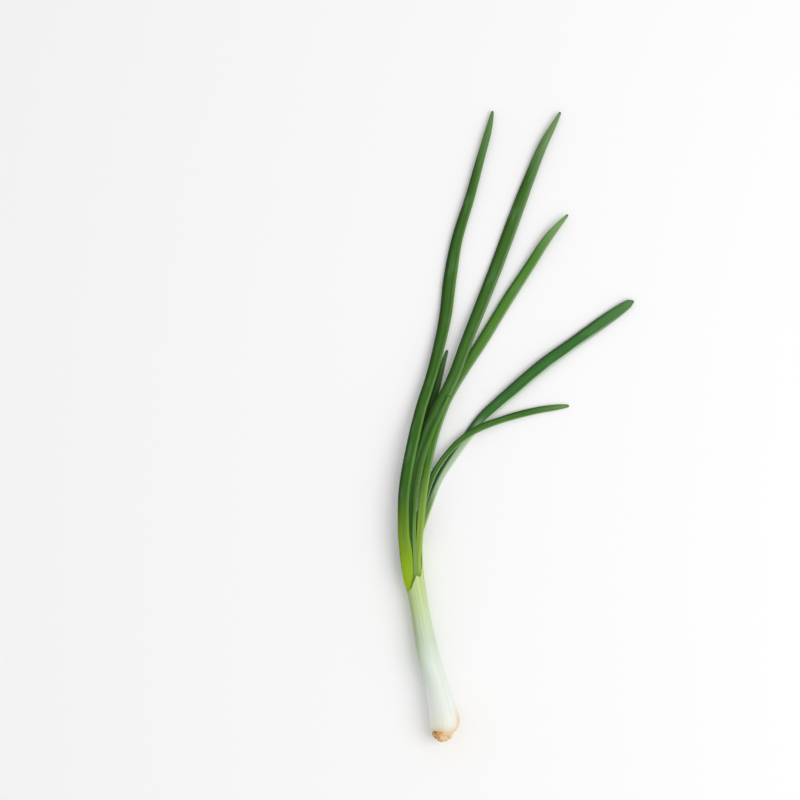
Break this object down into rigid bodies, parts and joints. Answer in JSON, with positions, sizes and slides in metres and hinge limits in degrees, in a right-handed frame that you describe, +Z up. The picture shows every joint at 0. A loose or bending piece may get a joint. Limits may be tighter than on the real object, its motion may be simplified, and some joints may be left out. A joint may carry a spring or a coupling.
{
  "type": "spring onion",
  "caption": "Spring onion with a small white bulb, trimmed root plate, pale sheathed shank and long tubular green leaves, lying flat.",
  "frame": {"origin": "centre of the bottom face of the plant's bounding box, on the surface that it lies on", "axes": "+Y from the root plate towards the leaf tips, +X towards the side that the leaves bend to, +Z up from the surface"},
  "size_m": [0.1352, 0.3594, 0.017],
  "materials": {
    "stalk_skin": "moist satin skin, white at the bulb and yellow-green at the neck, with fine lengthwise veins",
    "root_tissue": "dry, matt tan tissue with brown scars of the trimmed roots",
    "leaf_green": "dark green leaf with fine lengthwise veins and a thin waxy bloom",
    "leaf_light_green": "light green leaf with fine lengthwise veins and a satin sheen",
    "leaf_grey_green": "grey-green leaf with a heavier waxy bloom and a pale lower stretch"
  },
  "bodies": {
    "root": {"stalk": "stalk_skin", "root_plate": "root_tissue", "front_leaf": "leaf_green", "tall_leaf": "leaf_green", "short_leaf": "leaf_green", "right_leaf": "leaf_light_green", "inner_leaf": "leaf_light_green", "side_leaf": "leaf_light_green", "outer_leaf": "leaf_grey_green"}
  },
  "joints": []
}
